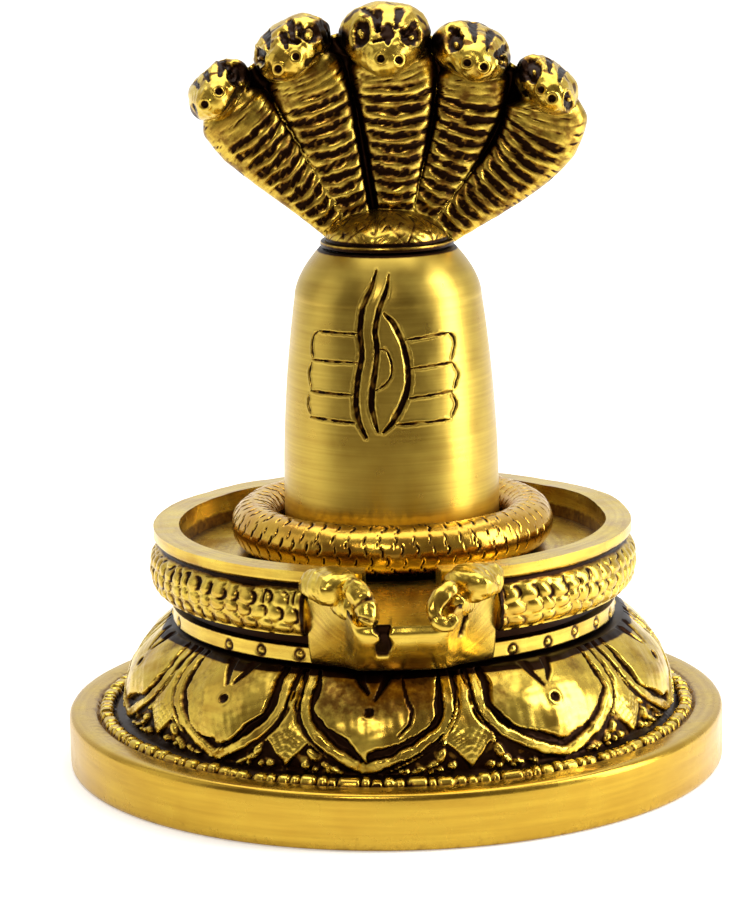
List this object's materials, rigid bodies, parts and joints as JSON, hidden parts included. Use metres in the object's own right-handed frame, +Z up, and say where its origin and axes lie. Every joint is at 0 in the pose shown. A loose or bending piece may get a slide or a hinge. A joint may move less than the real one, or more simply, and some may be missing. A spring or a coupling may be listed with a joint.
{
  "type": "shiva lingam",
  "caption": "Small brass lingam on a round lotus foot: basin with a spout, coiled ring on its floor, engraved shaft, and a fan of cobra heads above.",
  "frame": {"origin": "centre of the flat underside of the foot disc", "axes": "+Z up, -Y is the front with the basin's spout and the cobras' faces, +X is the viewer's right"},
  "size_m": [0.086, 0.086, 0.0986],
  "materials": {
    "antique_brass": "cast brass, carved, with dark antique lacquer left in the recesses and the high parts polished bright",
    "polished_brass": "turned and polished brass with punched crescents",
    "brushed_brass": "turned brass, brushed round the axis, lacquered"
  },
  "bodies": {
    "root": {"lotus_base": "antique_brass", "yoni_basin": "antique_brass", "coil_ring": "polished_brass", "lingam_shaft": "brushed_brass", "cobra_hood": "antique_brass"}
  },
  "joints": []
}
